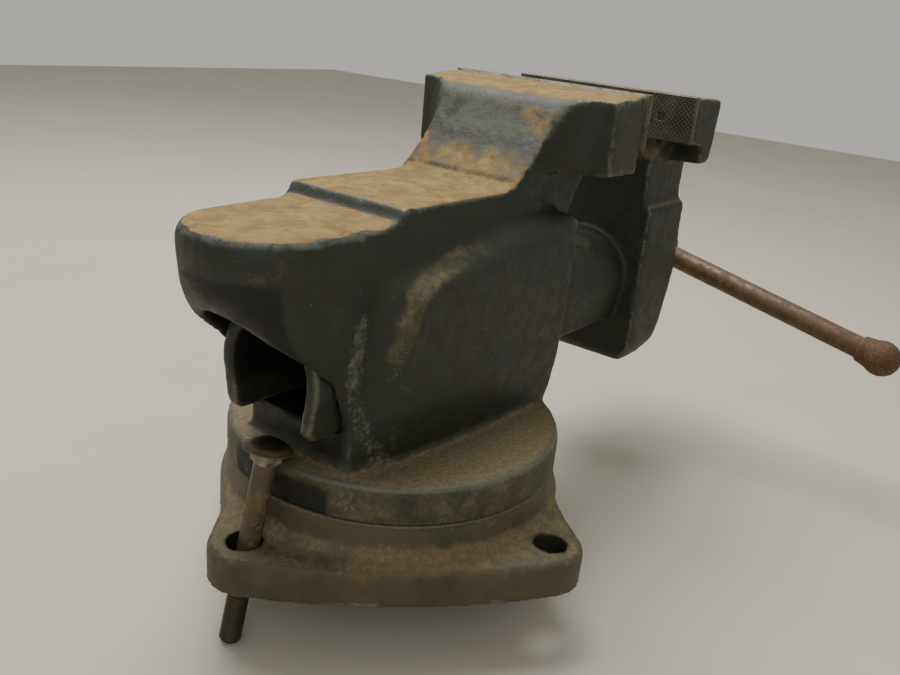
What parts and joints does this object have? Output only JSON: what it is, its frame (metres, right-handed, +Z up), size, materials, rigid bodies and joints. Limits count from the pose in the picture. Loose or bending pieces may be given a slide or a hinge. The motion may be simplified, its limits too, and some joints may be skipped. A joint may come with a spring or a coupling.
{
  "type": "machine vise",
  "caption": "Machinist's bench vise on a swivel base: hooded hollow slide, anvil platform, crosshatched jaw plates, sliding tommy bar.",
  "frame": {"origin": "centre of the swivel base's flat bottom, on the swivel axis", "axes": "+Z up along the swivel axis, +X from the tail to the moving jaw along the screw, +Y to the swivel lock's side"},
  "size_m": [0.5122, 0.3635, 0.302],
  "materials": {
    "base_paint": "old olive paint with brown grime and flash rust",
    "casting_paint": "old grey-green paint, rust on the worn tops",
    "jaw_steel": "hardened crosshatched steel, dark patina",
    "screw_steel": "oily machined steel",
    "handle_steel": "brown rust",
    "nut_iron": "bare grey iron, oily",
    "bolt_steel": "dull steel",
    "mounting_bolt_steel": "rusty steel"
  },
  "bodies": {
    "base": {"swivel_base": "base_paint", "king_bolt": "bolt_steel", "king_bolt_washer": "bolt_steel"},
    "turret": {"body_casting": "casting_paint", "fixed_jaw_plate": "jaw_steel", "fixed_jaw_plate_pins": "bolt_steel", "main_nut": "nut_iron", "main_nut_bolt": "bolt_steel", "main_nut_washer": "bolt_steel", "main_nut_dowels": "bolt_steel", "lock_bolt": "bolt_steel", "lock_washer": "bolt_steel"},
    "moving_jaw": {"moving_jaw_casting": "casting_paint", "moving_jaw_plate": "jaw_steel", "moving_jaw_plate_pins": "bolt_steel"},
    "screw": {"lead_screw": "screw_steel", "screw_thrust_washer": "bolt_steel", "screw_retaining_collar": "screw_steel", "retaining_collar_pin": "bolt_steel"},
    "handle": {"handle_rod": "handle_steel", "handle_knob_near": "handle_steel", "handle_knob_far": "handle_steel"},
    "lock_nut": {"lock_nut": "bolt_steel"},
    "loose_bolt": {"mounting_bolt": "mounting_bolt_steel"}
  },
  "joints": [
    {"name": "swivel", "type": "hinge", "parent": "base", "child": "turret", "pos_m": [0, 0, 0.0424], "axis": [0, 0, 1], "range_deg": [-130, 130]},
    {"name": "jaw_slide", "type": "slide", "parent": "turret", "child": "moving_jaw", "axis": [1, 0, 0], "range_m": [-0.0735, 0.126]},
    {"name": "screw_spin", "type": "hinge", "parent": "moving_jaw", "child": "screw", "pos_m": [0.338, 0, 0.122], "axis": [1, 0, 0], "range_deg": [-4420, 7570]},
    {"name": "handle_slide", "type": "slide", "parent": "screw", "child": "handle", "axis": [0, 0.9781, 0.2079], "range_m": [0, 0.173]},
    {"name": "lock_nut_turn", "type": "hinge", "parent": "turret", "child": "lock_nut", "pos_m": [0.02736, 0.07518, 0.0735], "axis": [0, 0, 1], "range_deg": [0, 360]},
    {"name": "bolt_lift", "type": "slide", "parent": "base", "child": "loose_bolt", "axis": [0.1689, -0.0486, 0.9844], "range_m": [-0.006, 0.022]}
  ],
  "couplings": [
    {"joint": "screw_spin", "follows": "jaw_slide", "rad_per_m": 1047.2}
  ]
}
